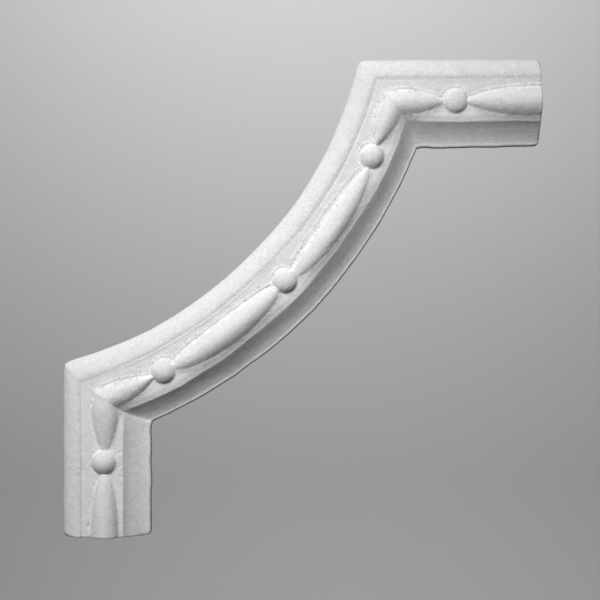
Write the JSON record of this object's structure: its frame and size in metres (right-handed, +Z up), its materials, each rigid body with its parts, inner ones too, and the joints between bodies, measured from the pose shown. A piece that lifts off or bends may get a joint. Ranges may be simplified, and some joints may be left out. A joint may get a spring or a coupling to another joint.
{
  "type": "panel moulding corner",
  "caption": "Cast plaster corner for wall panel moulding: a scooped quarter arc between two straight legs, dressed with beads and long spindles.",
  "frame": {"origin": "on the flat back, behind the line of the ornament, half way along the arc", "axes": "+X to the right along the top leg, towards its cut end; +Z up along the left leg, away from its cut end; +Y out of the flat back, into the wall, so the ornament faces -Y"},
  "size_m": [0.2817, 0.0181, 0.2818],
  "materials": {
    "plaster": "bare matt casting plaster, slightly powdery, with small air holes"
  },
  "bodies": {
    "root": {"moulding_corner": "plaster"}
  },
  "joints": []
}
